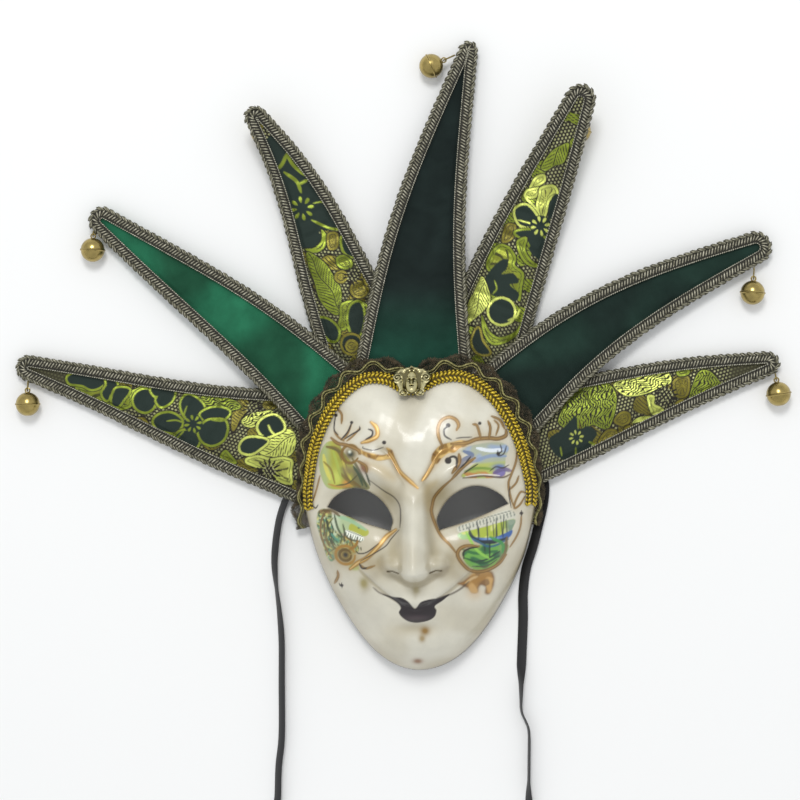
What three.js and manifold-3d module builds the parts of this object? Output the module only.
// A carnival mask lying on its back: a papier-mache face under a fan of seven padded cloth horns.
// Lengths are in millimetres. The face looks up along +Z, its brow is towards +Y and its chin
// towards -Y. The underside of its rim lies in the plane z = 0.
import * as THREE from 'three';
import { mergeVertices } from 'three/addons/utils/BufferGeometryUtils.js';
import Module from 'manifold-3d';

const wasm = await Module();
wasm.setup();

// The gap that separate pieces keep where they touch.
const gap = 0.35;

// The papier-mache face. Its two halves are worked out from one half, which is mirrored and
// then made a little narrower on the left and wider on the right, as the hand-made one is.
const face = {
  wall: 2.6,
  leftScale: 0.965,
  rightScale: 1.035,
  domeCentreY: -20,
  meshCentreY: -46,
  rimHeightAtJaw: 3,
  templeLift: 10,
  browLift: 21,
  domeHeight: 60,
  sectors: 52,
  outerRings: 17,
  innerRings: 6,
  halfRim: [
    [0, -129], [23, -122.5], [44, -104], [64, -73], [76, -47], [83, -22], [87, 2],
    [84.5, 22], [78, 46], [66, 70], [50, 87], [34, 94.5], [17, 93], [0, 85.5],
  ],
};

// One eye hole: the inner corner, the round upper lid and the outer corner.
const eye = {
  lid: [[18, -21], [16.5, -12], [25, 1.5], [38, 9.5], [50, 9.5], [61, 3.5], [66.5, -3.5]],
  lowerLidSag: 1.2,
  lidSteps: 12,
};

// The creases and rolls of the face, each a short smooth curve on the right half.
const relief = {
  browRoll: [[2, -2], [13, 9], [27, 23], [44, 27], [64, 19]],
  browCrease: [[1, 2], [9, 18], [19, 36], [30, 40]],
  wingCrease: [[22, -34], [26, -44], [21, -53]],
  mouthY: -78,
  smileRise: 26.5,
  smileReach: 40,
};

// The horns, by the middle of the root and of the tip's round end. rootHalf and tipHalf are
// half widths over the braid, belly widens the middle, and bow and sway bend the middle line.
// rootZ and tipZ are the heights of the underside, and rise is the power by which it climbs.
const brocadeBase = { cloth: 'brocade', rootZ: 3, tipZ: 1.5, rise: 1 };
const velvetBase = { cloth: 'velvet', rootZ: 12.4, tipZ: 3, rise: 1 };
const horns = [
  { ...brocadeBase, root: [-92, 43], tip: [-292, 104.5], rootHalf: 41, tipHalf: 9.6,
    belly: -1.9, bow: 2, sway: 1 },
  { ...velvetBase, root: [-60, 70.5], tip: [-233, 214.5], rootHalf: 31.5, tipHalf: 10.5,
    belly: 2.7, bow: -4.8, sway: -1 },
  { ...brocadeBase, root: [-39, 121], tip: [-112.5, 286.5], rootHalf: 34, tipHalf: 8.5,
    belly: 1.7, bow: -4.8, sway: 1.7, tipZ: 23, rise: 3 },
  { ...velvetBase, root: [1.5, 108], tip: [46.2, 334.8], rootHalf: 42, tipHalf: 7.2,
    belly: 1.1, bow: 7.3, sway: 0.6, rootZ: 19.5 },
  { ...brocadeBase, root: [54, 120.5], tip: [128, 292], rootHalf: 32.5, tipHalf: 11.5,
    belly: 2.4, bow: 1.8, sway: 0.4, tipZ: 29, rise: 2 },
  { ...velvetBase, root: [62, 64], tip: [256.5, 182], rootHalf: 33, tipHalf: 12,
    belly: 1.3, bow: 13.3, sway: 0.7 },
  { ...brocadeBase, root: [85, 45], tip: [263.5, 95.5], rootHalf: 36.5, tipHalf: 9.2,
    belly: 1.5, bow: 3, sway: -0.6 },
];
const padding = { shoulder: 4, crown: 5, seam: 1.2, stations: 11, rootReach: 22 };
const edging = { width: 9.5, thickness: 2.4, slit: 0.25 };

// The hollow brass bells, each on a loop of thread. Two of them lie under their horns' tips.
const bell = {
  radius: 9, wall: 0.6, flange: 0.6, flangeThickness: 1, mouthAngle: -76, segments: 8,
  eyeRadius: 1.7, eyeWire: 0.55,
};
const bellPlaces = [
  [-292.5, 77], [-240.5, 192.3], [-109.5, 277], [18, 323.8], [127.2, 272], [253.4, 148.5],
  [271, 72.8],
];
// Where the thread of each bell is sewn to its horn, and how high.
const threadPlaces = [
  [-292.3, 94.1, 7], [-239.7, 206, 8.5], [-111, 290.5, 23.5], [35.8, 331.5, 8.5],
  [129.3, 288, 27.6], [255, 167.2, 8.5], [269.1, 87.7, 7],
];
const thread = { wire: 1, halfWidth: 1.7, past: 2.5 };

// The trimmings of the face's upper edge.
const goldBraid = { width: 7.7, thickness: 2.2, overhang: 0.4, endY: -6, stations: 28 };
const lace = {
  width: 12.5, endWidth: 6, leftFlare: 5, thickness: 1.4, below: 2.6, scallop: 0.14,
  endY: -20, stations: 37, droop: 1.6, sideDroop: 4,
};
const ornament = { halfWidth: 15, halfHeight: 12, y: 87.5, depth: 7.5, back: 1.6, sectors: 22 };

// The satin ties, flat on the surface that the mask lies on. Each route starts at the rim.
const ribbon = { width: 7.5, thickness: 1.6, height: 0.95, sides: 6, stepLength: 25 };
const ribbonRoutes = {
  ribbon_left: [
    [-87, 14], [-93.5, 8], [-99, 0.5], [-104.5, -15.5], [-108, -39.5], [-108, -57],
    [-105.2, -85], [-104.2, -107.5], [-104.8, -138.5], [-105.6, -177], [-108.4, -200.5],
    [-109.7, -224.5], [-112, -238], [-119, -249], [-131, -254], [-155, -255], [-190, -255],
    [-208, -258], [-220, -266], [-224, -276], [-219, -287], [-207, -294], [-188, -296],
    [-150, -296], [-120, -296],
  ],
  ribbon_right: [
    [93.8, 16], [96.2, 10], [96.2, 2], [94.6, -8], [91, -22], [86.5, -38], [81.2, -54],
    [78.5, -72], [78, -93.5], [76, -128],
    [75.3, -149], [75.4, -161], [79, -170], [80.7, -178], [80.1, -203.5], [79.6, -227.5],
    [82, -242], [89, -253], [101, -258], [125, -259], [160, -259], [178, -262], [190, -270],
    [194, -280], [189, -291], [177, -298], [158, -300], [120, -300], [90, -300],
  ],
};

const colours = {
  ivory: { color: '#dcdad0', roughness: 0.22, metalness: 0 },
  velvet: { color: '#22563f', roughness: 0.95, metalness: 0 },
  brocade: { color: '#5f6f2c', roughness: 0.6, metalness: 0.3 },
  edging: { color: '#6b6858', roughness: 0.5, metalness: 0.5 },
  brass: { color: '#a8924a', roughness: 0.25, metalness: 1 },
  gold: { color: '#c9a227', roughness: 0.35, metalness: 0.8 },
  bronzeLace: { color: '#5b5138', roughness: 0.6, metalness: 0.4 },
  antiqueGold: { color: '#b09a4e', roughness: 0.35, metalness: 1 },
  satin: { color: '#343434', roughness: 0.45, metalness: 0 },
  thread: { color: '#8a7a45', roughness: 0.6, metalness: 0.3 },
};

function smoothStep(low, high, value) {
  const t = Math.min(Math.max((value - low) / (high - low), 0), 1);
  return t * t * (3 - 2 * t);
}

function bump(x, y, centreX, centreY, reachX, reachY) {
  return Math.exp(-(((x - centreX) / reachX) ** 2) - ((y - centreY) / reachY) ** 2);
}

function smoothCurve(points) {
  const curve = new THREE.CatmullRomCurve3(
    points.map(([x, y]) => new THREE.Vector3(x, y, 0)), false, 'catmullrom', 0.5);
  return curve.getPoints(10 * (points.length - 1));
}

// A rounded ridge along a curve, fading at both ends.
function ridge(x, y, curve, reach, fadeIn, fadeOut) {
  let nearest = Infinity;
  let place = 0;
  for (let i = 0; i < curve.length - 1; i += 1) {
    const start = curve[i];
    const dx = curve[i + 1].x - start.x;
    const dy = curve[i + 1].y - start.y;
    const along = ((x - start.x) * dx + (y - start.y) * dy) / (dx * dx + dy * dy);
    const t = Math.min(Math.max(along, 0), 1);
    const distance = Math.hypot(x - start.x - dx * t, y - start.y - dy * t);
    if (distance < nearest) {
      nearest = distance;
      place = (i + t) / (curve.length - 1);
    }
  }
  const fade = smoothStep(0, fadeIn, place + 0.04) * smoothStep(0, fadeOut, 1.04 - place);
  return Math.exp(-((nearest / reach) ** 2)) * fade;
}

// The whole rim as one closed curve, on the plain mirrored face.
const rimControl = [
  ...face.halfRim,
  ...face.halfRim.slice(1, -1).reverse().map(([x, y]) => [-x, y]),
];
const rimLoop = new THREE.CatmullRomCurve3(
  rimControl.map(([x, y]) => new THREE.Vector3(x, y, 0)), true, 'catmullrom', 0.5,
).getPoints(rimControl.length * 16);

// How far the rim is from a point on the middle line, in a direction.
function rimDistance(centreY, angle) {
  const ux = Math.cos(angle);
  const uy = Math.sin(angle);
  for (let i = 0; i < rimLoop.length - 1; i += 1) {
    const ax = rimLoop[i].x;
    const ay = rimLoop[i].y - centreY;
    const bx = rimLoop[i + 1].x;
    const by = rimLoop[i + 1].y - centreY;
    const sideA = ux * ay - uy * ax;
    const sideB = ux * by - uy * bx;
    if (sideA * sideB <= 0 && sideA !== sideB) {
      const t = sideA / (sideA - sideB);
      const distance = ux * (ax + (bx - ax) * t) + uy * (ay + (by - ay) * t);
      if (distance > 0) {
        return distance;
      }
    }
  }
  throw new Error('the rim does not go round its centre');
}

function widen(x) {
  return x * (x > 0 ? face.rightScale : face.leftScale);
}

function edgeHeight(y) {
  return face.rimHeightAtJaw + face.templeLift * smoothStep(-60, -8, y)
    + face.browLift * smoothStep(4, 48, y);
}

const browRoll = smoothCurve(relief.browRoll);
const browCrease = smoothCurve(relief.browCrease);
const wingCrease = smoothCurve(relief.wingCrease);

function noseHeight(a, y) {
  const bridge = smoothStep(20, -44, y) ** 1.35;
  const spread = Math.min(a * a, 420);
  const underside = smoothStep(-61.5 + 0.03 * spread, -51 + 0.012 * spread, y);
  const halfWidth = 8.2 + 1.4 * smoothStep(-8, -46, y);
  const section = 18 * Math.exp(-((a / halfWidth) ** 2)) + 6 * Math.exp(-((a / 16) ** 2));
  return section * bridge * underside + 3.5 * bump(a, y, 0, -48, 8.5, 7)
    + 9.5 * bump(a, y, 16.5, -45.5, 7, 6.3) - 2.4 * bump(a, y, 10.6, -48.5, 2.6, 7);
}

function mouthHeight(a, y) {
  const smile = relief.mouthY + relief.smileRise * (a / relief.smileReach) ** 1.5;
  const fade = smoothStep(50, 34, a);
  const step = Math.tanh((y - smile) / 3) * smoothStep(-125, -85, y) * smoothStep(0, -40, y);
  return fade * (1.3 * step - 1.5 * Math.exp(-(((y - smile) / 2.2) ** 2)))
    + 2.6 * bump(a, y, 0, -82.5, 13, 5.5) + 1.6 * bump(a, y, 9, -73, 8, 3)
    - 2.2 * bump(a, y, 0, -93, 15, 5) - bump(a, y, 0, -66, 2.8, 7);
}

// Height of the face's outer surface over the plane of its rim.
function faceHeight(x, y) {
  const a = x > 0 ? x / face.rightScale : -x / face.leftScale;
  const fromCentre = Math.hypot(a, y - face.domeCentreY);
  const angle = Math.atan2(y - face.domeCentreY, a);
  const share = Math.min(fromCentre / rimDistance(face.domeCentreY, angle), 1);
  const edge = edgeHeight(y);
  const dome = face.domeHeight - 4 * smoothStep(40, 95, y);
  const fullness = 2.4 + smoothStep(0, 70, y);
  const roundness = 0.55 + 0.3 * smoothStep(-10, 60, y);
  let height = edge + (dome - edge) * (1 - share ** fullness) ** roundness;
  height += 4.5 * bump(a, y, 44, -36, 22, 20);
  height -= 8 * bump(a, y, 41, -4, 28, 15) + 6 * bump(a, y, 18, -9, 11, 14);
  height += 8 * ridge(a, y, browRoll, 7.5, 0.5, 0.5);
  height -= 2.2 * ridge(a, y, browCrease, 3, 0.6, 0.35);
  height -= 1.6 * ridge(a, y, wingCrease, 3.6, 0.5, 0.5);
  height += 3 * bump(a, y, 0, 40, 12, 26);
  height += noseHeight(a, y) + 4.5 * bump(a, y, 0, -66, 26, 16) + mouthHeight(a, y);
  height += 5 * bump(a, y, 0, -108, 19, 13) - 2.5 * bump(a, y, 38, -90, 14, 18);
  return height;
}

// A closed geometry from corners and triangles, its faces turned outwards.
function closedGeometry(corners, triangles) {
  let volume = 0;
  for (let i = 0; i < triangles.length; i += 3) {
    const [a, b, c] = [0, 1, 2].map((k) => corners[triangles[i + k]]);
    volume += a.dot(new THREE.Vector3().crossVectors(b, c));
  }
  if (volume < 0) {
    triangles.reverse();
  }
  const geometry = new THREE.BufferGeometry();
  geometry.setAttribute('position', new THREE.Float32BufferAttribute(
    corners.flatMap((corner) => [corner.x, corner.y, corner.z]), 3));
  geometry.setIndex(triangles);
  return geometry;
}

// A skin through rings of corners, with a flat end on the first and the last ring.
function loft(rings) {
  const count = rings[0].length;
  const triangles = [];
  for (let i = 0; i < rings.length - 1; i += 1) {
    for (let k = 0; k < count; k += 1) {
      const a = i * count + k;
      const b = i * count + ((k + 1) % count);
      triangles.push(a, b, a + count, b, b + count, a + count);
    }
  }
  const last = (rings.length - 1) * count;
  for (let k = 1; k < count - 1; k += 1) {
    triangles.push(0, k + 1, k, last, last + k, last + k + 1);
  }
  return closedGeometry(rings.flat(), triangles);
}

function toSolid(geometry) {
  const bare = geometry.clone();
  bare.deleteAttribute('normal');
  bare.deleteAttribute('uv');
  const merged = mergeVertices(bare, 1e-4);
  return new wasm.Manifold(new wasm.Mesh({
    numProp: 3,
    vertProperties: new Float32Array(merged.attributes.position.array),
    triVerts: new Uint32Array(merged.index.array),
  }));
}

function fromSolid(solid) {
  const result = solid.getMesh();
  const geometry = new THREE.BufferGeometry();
  geometry.setAttribute('position', new THREE.Float32BufferAttribute(result.vertProperties, 3));
  geometry.setIndex([...result.triVerts]);
  return geometry;
}

function mesh(name, geometry, finish) {
  const item = new THREE.Mesh(geometry, new THREE.MeshStandardMaterial(colours[finish]));
  item.name = name;
  return item;
}

// The rim's corners, one for each sector of the face's mesh, moved outwards by a margin.
function rimCorners(margin) {
  const corners = [];
  for (let i = 0; i < face.sectors; i += 1) {
    const angle = (i / face.sectors) * 2 * Math.PI;
    const reach = rimDistance(face.meshCentreY, angle);
    corners.push(new THREE.Vector2(
      widen(reach * Math.cos(angle)), face.meshCentreY + reach * Math.sin(angle)));
  }
  return corners.map((corner, i) => {
    const before = corners[(i + corners.length - 1) % corners.length];
    const after = corners[(i + 1) % corners.length];
    const side = after.clone().sub(before).normalize();
    return new THREE.Vector2(corner.x + side.y * margin, corner.y - side.x * margin);
  });
}

function eyePrism(side) {
  const lid = new THREE.CatmullRomCurve3(
    eye.lid.map(([x, y]) => new THREE.Vector3(widen(side * x), y, 0)), false, 'catmullrom', 0.5);
  const points = lid.getPoints(eye.lidSteps).map((p) => new THREE.Vector2(p.x, p.y));
  const inner = points[0];
  const outer = points[points.length - 1];
  points.push(new THREE.Vector2(
    (inner.x + outer.x) / 2, (inner.y + outer.y) / 2 - eye.lowerLidSag));
  const prism = new THREE.ExtrudeGeometry(
    new THREE.Shape(points), { depth: 120, bevelEnabled: false });
  return toSolid(prism);
}

// The face: an outer skin, a plain inner skin one wall thickness behind it, and a flat rim.
function faceShell() {
  const centre = new THREE.Vector2(0, face.meshCentreY);
  const outer = rimCorners(0);
  const inner = rimCorners(-face.wall);
  const corners = [];
  const rings = [];
  const addRing = (points) => {
    rings.push(points.map((point) => corners.push(point) - 1));
  };
  for (let ring = face.outerRings; ring > 0; ring -= 1) {
    const share = 1 - (1 - ring / face.outerRings) ** 1.35;
    addRing(outer.map((corner) => {
      const place = centre.clone().lerp(corner, share);
      return new THREE.Vector3(place.x, place.y, faceHeight(place.x, place.y));
    }));
  }
  rings.reverse();
  addRing(outer.map((corner) => new THREE.Vector3(corner.x, corner.y, 0)));
  addRing(inner.map((corner) => new THREE.Vector3(corner.x, corner.y, 0)));
  for (let ring = face.innerRings; ring > 0; ring -= 1) {
    const share = 1 - (1 - ring / face.innerRings) ** 1.6;
    addRing(inner.map((corner) => {
      const place = centre.clone().lerp(corner, share);
      return new THREE.Vector3(place.x, place.y, innerHeight(place.x, place.y));
    }));
  }
  const top = corners.push(new THREE.Vector3(0, centre.y, faceHeight(0, centre.y))) - 1;
  const roof = corners.push(new THREE.Vector3(0, centre.y, innerHeight(0, centre.y))) - 1;
  const triangles = [];
  const count = face.sectors;
  for (let k = 0; k < count; k += 1) {
    const next = (k + 1) % count;
    for (let i = 0; i < rings.length - 1; i += 1) {
      const [a, b] = [rings[i], rings[i + 1]];
      triangles.push(a[k], b[k], a[next], a[next], b[k], b[next]);
    }
    const last = rings[rings.length - 1];
    triangles.push(top, rings[0][k], rings[0][next], roof, last[next], last[k]);
  }
  const solid = toSolid(closedGeometry(corners, triangles));
  return fromSolid(solid.subtract(eyePrism(1)).subtract(eyePrism(-1)));
}

// The inner skin follows the outer one a wall thickness away, and smooths over small creases.
function innerHeight(x, y) {
  const step = 3;
  const slopeX = (faceHeight(x + step, y) - faceHeight(x - step, y)) / (2 * step);
  const slopeY = (faceHeight(x, y + step) - faceHeight(x, y - step)) / (2 * step);
  const steepness = Math.min(Math.sqrt(1 + slopeX ** 2 + slopeY ** 2), 2.4);
  const lowest = Math.min(
    faceHeight(x, y), faceHeight(x + step, y), faceHeight(x - step, y),
    faceHeight(x, y + step), faceHeight(x, y - step));
  return Math.max((faceHeight(x, y) + lowest) / 2 - face.wall * steepness, 0.5);
}

// The middle line of a horn, with the direction across it and its half width, at t from
// 0 at the root to 1 at the tip.
function hornStation(horn, t) {
  const root = new THREE.Vector2(...horn.root);
  const chord = new THREE.Vector2(...horn.tip).sub(root);
  const length = chord.length();
  const across = new THREE.Vector2(-chord.y, chord.x).divideScalar(length);
  const place = (u) => {
    const bend = horn.bow * Math.sin(Math.PI * u) + horn.sway * Math.sin(2 * Math.PI * u);
    return root.clone().addScaledVector(chord, u).addScaledVector(across, bend);
  };
  const along = place(t + 0.01).sub(place(t - 0.01)).normalize();
  return {
    middle: place(t),
    along,
    side: new THREE.Vector2(-along.y, along.x),
    half: horn.rootHalf * (1 - t) + horn.tipHalf * t + horn.belly * Math.sin(Math.PI * t),
  };
}

function undersideHeight(horn, x, y) {
  const root = new THREE.Vector2(...horn.root);
  const chord = new THREE.Vector2(...horn.tip).sub(root);
  const share = (x - root.x) * chord.x + (y - root.y) * chord.y;
  const along = share / chord.lengthSq();
  const climb = horn.rise === 1 ? along : Math.max(along, 0) ** horn.rise;
  return horn.rootZ + (horn.tipZ - horn.rootZ) * climb;
}

function hornLength(horn) {
  return Math.hypot(horn.tip[0] - horn.root[0], horn.tip[1] - horn.root[1]);
}

// The stations along a horn, from inside the face's rim to the start of the round tip.
function hornSteps(horn) {
  const start = -padding.rootReach / hornLength(horn);
  return Array.from(
    { length: padding.stations }, (_, i) => start + (1 - start) * (i / (padding.stations - 1)));
}

// One slice of a padded horn: a flat back, square sewn edges and a crown between the braids.
function hornSlice(horn, middle, side, half) {
  const body = half - padding.seam;
  const field = body - edging.width + 0.5;
  const crown = padding.crown * smoothStep(1, 28, field);
  const inner = Math.max(field, body * 0.15);
  const top = padding.shoulder;
  const profile = [
    [-body, 0], [body, 0], [body, top], [inner, top], [inner / 2, top + 0.75 * crown],
    [0, top + crown], [-inner / 2, top + 0.75 * crown], [-inner, top], [-body, top],
  ];
  return profile.map(([offset, z]) => {
    const x = middle.x + side.x * offset;
    const y = middle.y + side.y * offset;
    return new THREE.Vector3(x, y, z + undersideHeight(horn, x, y));
  });
}

function hornBody(horn, rimPrism) {
  const rings = hornSteps(horn).map((t) => {
    const station = hornStation(horn, t);
    return hornSlice(horn, station.middle, station.side, station.half);
  });
  const tip = hornStation(horn, 1);
  for (const turn of [0.65, 1.2]) {
    const middle = tip.middle.clone().addScaledVector(
      tip.along, (tip.half - padding.seam) * Math.sin(turn));
    const half = (tip.half - padding.seam) * Math.cos(turn) + padding.seam;
    rings.push(hornSlice(horn, middle, tip.side, half));
  }
  return fromSolid(toSolid(loft(rings)).subtract(rimPrism));
}

// The braid that edges a horn: up one side, round the tip and down the other. Where the horn
// is narrower than two braids, they meet on its middle line.
function hornBraid(horn, rimPrism) {
  const sides = hornSteps(horn).map((t) => {
    const { middle, side, half } = hornStation(horn, t);
    return { middle, side, outer: half, inner: Math.max(half - edging.width, edging.slit) };
  });
  const tip = hornStation(horn, 1);
  const round = [1, 2, 3, 4, 5].map((i) => {
    const turn = (i / 6) * Math.PI;
    const side = tip.side.clone().multiplyScalar(Math.cos(turn))
      .addScaledVector(tip.along, Math.sin(turn));
    return { middle: tip.middle, side, outer: tip.half, inner: edging.slit };
  });
  const back = [...sides].reverse().map((slice) => ({ ...slice, side: slice.side.clone().negate() }));
  const bottom = padding.shoulder + gap;
  const top = bottom + edging.thickness;
  const rings = [...sides, ...round, ...back].map(({ middle, side, outer, inner }) => [
    [inner, bottom], [outer, bottom], [outer, top], [inner, top],
  ].map(([offset, z]) => {
    const x = middle.x + side.x * offset;
    const y = middle.y + side.y * offset;
    return new THREE.Vector3(x, y, z + undersideHeight(horn, x, y));
  }));
  return fromSolid(toSolid(loft(rings)).subtract(rimPrism));
}

// A bell turned about the Y axis, open at its mouth, with a wire eye at its crown.
function bellGeometry() {
  const point = (radius, degrees) => {
    const turn = THREE.MathUtils.degToRad(degrees);
    return new THREE.Vector2(radius * Math.cos(turn), radius * Math.sin(turn));
  };
  const lip = bell.flangeThickness / 2;
  const rim = bell.radius + bell.flange;
  const hollow = bell.radius - bell.wall;
  const profile = [
    new THREE.Vector2(0, bell.radius), point(bell.radius, 50),
    new THREE.Vector2(bell.radius, lip), new THREE.Vector2(rim, lip),
    new THREE.Vector2(rim, -lip), new THREE.Vector2(bell.radius, -lip),
    point(bell.radius, -45), point(bell.radius, bell.mouthAngle),
    point(hollow, bell.mouthAngle), point(hollow, -25), point(hollow, 35),
    new THREE.Vector2(0, hollow),
  ];
  profile.reverse();
  const body = new THREE.LatheGeometry(profile, bell.segments);
  const wireEye = new THREE.TorusGeometry(bell.eyeRadius, bell.eyeWire, 4, 6);
  wireEye.translate(0, bell.radius + bell.eyeRadius - bell.eyeWire / 2, 0);
  return fromSolid(toSolid(body).add(toSolid(wireEye)));
}

// A long flat-sided loop of thread from a horn's edge round the wire of the bell's eye.
function threadLoop(start, wire, turn) {
  const along = wire.clone().sub(start).normalize();
  const end = wire.clone().addScaledVector(along, thread.past);
  const reach = start.distanceTo(end) / 2 - thread.halfWidth;
  const outline = (radius) => [0, 0.5, 1, 1, 1.5, 2].map((turn, i) => new THREE.Vector2(
    radius * Math.cos(turn * Math.PI), (i < 3 ? reach : -reach) + radius * Math.sin(turn * Math.PI)));
  const shape = new THREE.Shape(outline(thread.halfWidth));
  shape.holes.push(new THREE.Path(outline(thread.halfWidth - thread.wire)));
  const loop = new THREE.ExtrudeGeometry(shape, { depth: thread.wire, bevelEnabled: false });
  loop.translate(0, 0, -thread.wire / 2);
  const across = new THREE.Vector3(-Math.sin(turn), Math.cos(turn), 0);
  const sideways = new THREE.Vector3().crossVectors(along, across).normalize();
  loop.applyMatrix4(new THREE.Matrix4().makeBasis(sideways, along, across));
  const middle = start.clone().add(end).divideScalar(2);
  loop.translate(middle.x, middle.y, middle.z);
  return loop;
}

// Points evenly spaced along the face's upper edge, from the left end to the right one, each
// with the direction outwards.
function upperEdge(endY, count) {
  const points = rimLoop.slice(0, -1).map((p) => new THREE.Vector3(widen(p.x), p.y, 0));
  const start = points.findIndex((p) => p.x > 0 && p.y > endY);
  const stop = points.findIndex((p, i) => i > start && p.y < endY);
  const curve = new THREE.CatmullRomCurve3(points.slice(start, stop));
  return curve.getSpacedPoints(count - 1).map((point, i) => {
    const along = curve.getTangentAt(i / (count - 1));
    return { point, out: new THREE.Vector3(along.y, -along.x, 0) };
  });
}

function trimRing(station, profile) {
  return profile.map(([offset, z]) => {
    const place = station.point.clone().addScaledVector(station.out, offset);
    return new THREE.Vector3(place.x, place.y, z(place));
  });
}

function goldBraidGeometry() {
  const onFace = (lift) => (place) => faceHeight(place.x, place.y) + lift;
  const clear = 3 * gap;
  const top = clear + goldBraid.thickness;
  const profile = [
    [-goldBraid.width, onFace(clear)], [-goldBraid.width / 2, onFace(clear + 0.4)],
    [-1, onFace(clear + 0.4)], [goldBraid.overhang, onFace(clear)],
    [goldBraid.overhang, onFace(top)], [-goldBraid.width / 2, onFace(top)],
    [-goldBraid.width, onFace(goldBraid.thickness)],
  ];
  return loft(upperEdge(goldBraid.endY, goldBraid.stations).map((s) => trimRing(s, profile)));
}

// Lace that leans out over the horns' roots, its outer edge wavy.
function laceGeometry(rimPrism) {
  const inner = (place) => edgeHeight(place.y) - lace.below;
  const outer = (place) => inner(place) - lace.droop * smoothStep(5, 45, place.y)
    - lace.sideDroop * smoothStep(42, 62, Math.abs(place.x)) * smoothStep(20, 50, place.y);
  const rings = upperEdge(lace.endY, lace.stations).map((station, i) => {
    const { x, y } = station.point;
    const flare = x < 0 ? lace.leftFlare * smoothStep(8, -8, y) : 0;
    const width = lace.endWidth + (lace.width - lace.endWidth) * smoothStep(15, 55, y) + flare;
    const reach = width * (1 + (i % 2 ? lace.scallop : -lace.scallop));
    return trimRing(station, [
      [0, inner], [reach, outer],
      [reach, (place) => outer(place) + lace.thickness],
      [0, (place) => inner(place) + lace.thickness],
    ]);
  });
  return fromSolid(toSolid(loft(rings)).subtract(rimPrism));
}

// The cast ornament: a lobed plate with a small face under a crest.
function ornamentGeometry() {
  const foot = (x, y) => Math.max(faceHeight(x, y), faceHeight(x, y - 4))
    + goldBraid.thickness + 6 * gap;
  const outline = (angle) => 0.86 + 0.14 * Math.cos(8 * angle) * Math.cos(angle / 2) ** 2;
  const raised = (u, v) => {
    const brow = 0.9 * bump(u, v, 0, 0.1, 0.34, 0.62);
    const nose = 0.45 * bump(u, v, 0, -0.02, 0.08, 0.2);
    const crest = 0.35 * bump(u, v, 0, 0.78, 0.3, 0.2);
    const scrolls = 0.45 * (bump(u, v, -0.66, 0, 0.2, 0.34) + bump(u, v, 0.66, 0, 0.2, 0.34));
    return brow + nose + crest + scrolls;
  };
  const shares = [0.2, 0.4, 0.6, 0.8, 1];
  const corners = [];
  const add = (u, v, z) => {
    const x = u * ornament.halfWidth;
    const y = ornament.y + v * ornament.halfHeight;
    return corners.push(new THREE.Vector3(x, y, foot(x, y) + z)) - 1;
  };
  const front = (u, v) => ornament.back + (ornament.depth - ornament.back) * 0.8 * raised(u, v);
  const rings = shares.map((share) => Array.from({ length: ornament.sectors }, (_, i) => {
    const angle = (i / ornament.sectors) * 2 * Math.PI;
    const u = share * outline(angle) * Math.cos(angle);
    const v = share * outline(angle) * Math.sin(angle);
    return add(u, v, front(u, v));
  }));
  rings.push(rings[rings.length - 1].map((index) => {
    const corner = corners[index];
    const base = foot(corner.x, corner.y);
    return corners.push(new THREE.Vector3(corner.x, corner.y, base)) - 1;
  }));
  const top = add(0, 0, front(0, 0));
  const back = add(0, 0, 0);
  const triangles = [];
  for (let k = 0; k < ornament.sectors; k += 1) {
    const next = (k + 1) % ornament.sectors;
    for (let i = 0; i < rings.length - 1; i += 1) {
      const [a, b] = [rings[i], rings[i + 1]];
      triangles.push(a[k], b[k], a[next], a[next], b[k], b[next]);
    }
    const last = rings[rings.length - 1];
    triangles.push(top, rings[0][k], rings[0][next], back, last[next], last[k]);
  }
  return closedGeometry(corners, triangles);
}

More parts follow.
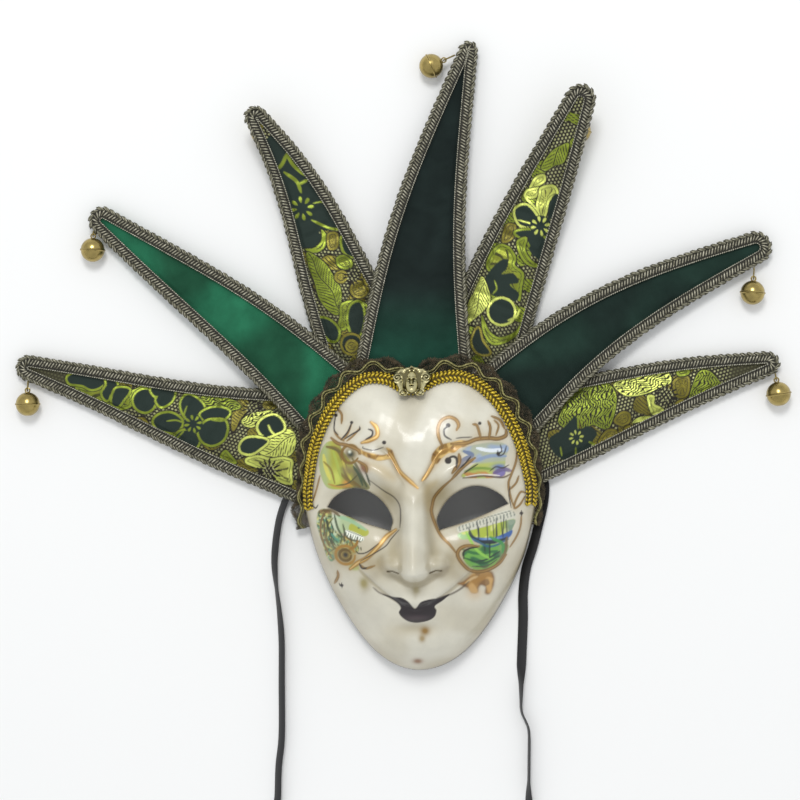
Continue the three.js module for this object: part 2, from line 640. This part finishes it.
function ribbonGeometry(route) {
  const path = new THREE.CatmullRomCurve3(
    route.map(([x, y]) => new THREE.Vector3(x, y, ribbon.height)), false, 'catmullrom', 0.5);
  const section = new THREE.Shape(Array.from({ length: ribbon.sides }, (_, i) => {
    const turn = ((i + 0.5) / ribbon.sides) * 2 * Math.PI;
    return new THREE.Vector2(
      (ribbon.thickness / 2) * Math.cos(turn), (ribbon.width / 2) * Math.sin(turn));
  }));
  const steps = Math.round(path.getLength() / ribbon.stepLength);
  return new THREE.ExtrudeGeometry(section, { steps, extrudePath: path, bevelEnabled: false });
}

const rimPrism = toSolid(new THREE.ExtrudeGeometry(
  new THREE.Shape(rimCorners(gap)), { depth: 120, bevelEnabled: false }));

const mask = new THREE.Group();
mask.add(mesh('face_shell', faceShell(), 'ivory'));
const bellShape = bellGeometry();
const bellZ = bell.radius + bell.flange;
horns.forEach((horn, i) => {
  const number = i + 1;
  mask.add(mesh(`horn_${number}`, hornBody(horn, rimPrism), horn.cloth));
  mask.add(mesh(`horn_braid_${number}`, hornBraid(horn, rimPrism), 'edging'));
  const centre = new THREE.Vector3(...bellPlaces[i], bellZ);
  const sewn = new THREE.Vector3(...threadPlaces[i]);
  const turn = Math.atan2(sewn.y - centre.y, sewn.x - centre.x);
  const hanging = mesh(`bell_${number}`, bellShape, 'brass');
  hanging.position.copy(centre);
  hanging.rotation.z = turn - Math.PI / 2;
  mask.add(hanging);
  const reach = bell.radius + 2 * bell.eyeRadius - bell.eyeWire / 2;
  const wire = centre.clone().add(
    new THREE.Vector3(reach * Math.cos(turn), reach * Math.sin(turn), 0));
  mask.add(mesh(`bell_tie_${number}`, threadLoop(sewn, wire, turn), 'thread'));
});
mask.add(mesh('gold_braid', goldBraidGeometry(), 'gold'));
mask.add(mesh('lace_trim', laceGeometry(rimPrism), 'bronzeLace'));
mask.add(mesh('forehead_ornament', ornamentGeometry(), 'antiqueGold'));

// The origin is under the middle of the mask's box, without the ribbons.
const box = new THREE.Box3().setFromObject(mask);
mask.position.set(-(box.min.x + box.max.x) / 2, -(box.min.y + box.max.y) / 2, -box.min.z);

for (const [name, route] of Object.entries(ribbonRoutes)) {
  mask.add(mesh(name, ribbonGeometry(route), 'satin'));
}

export default mask;
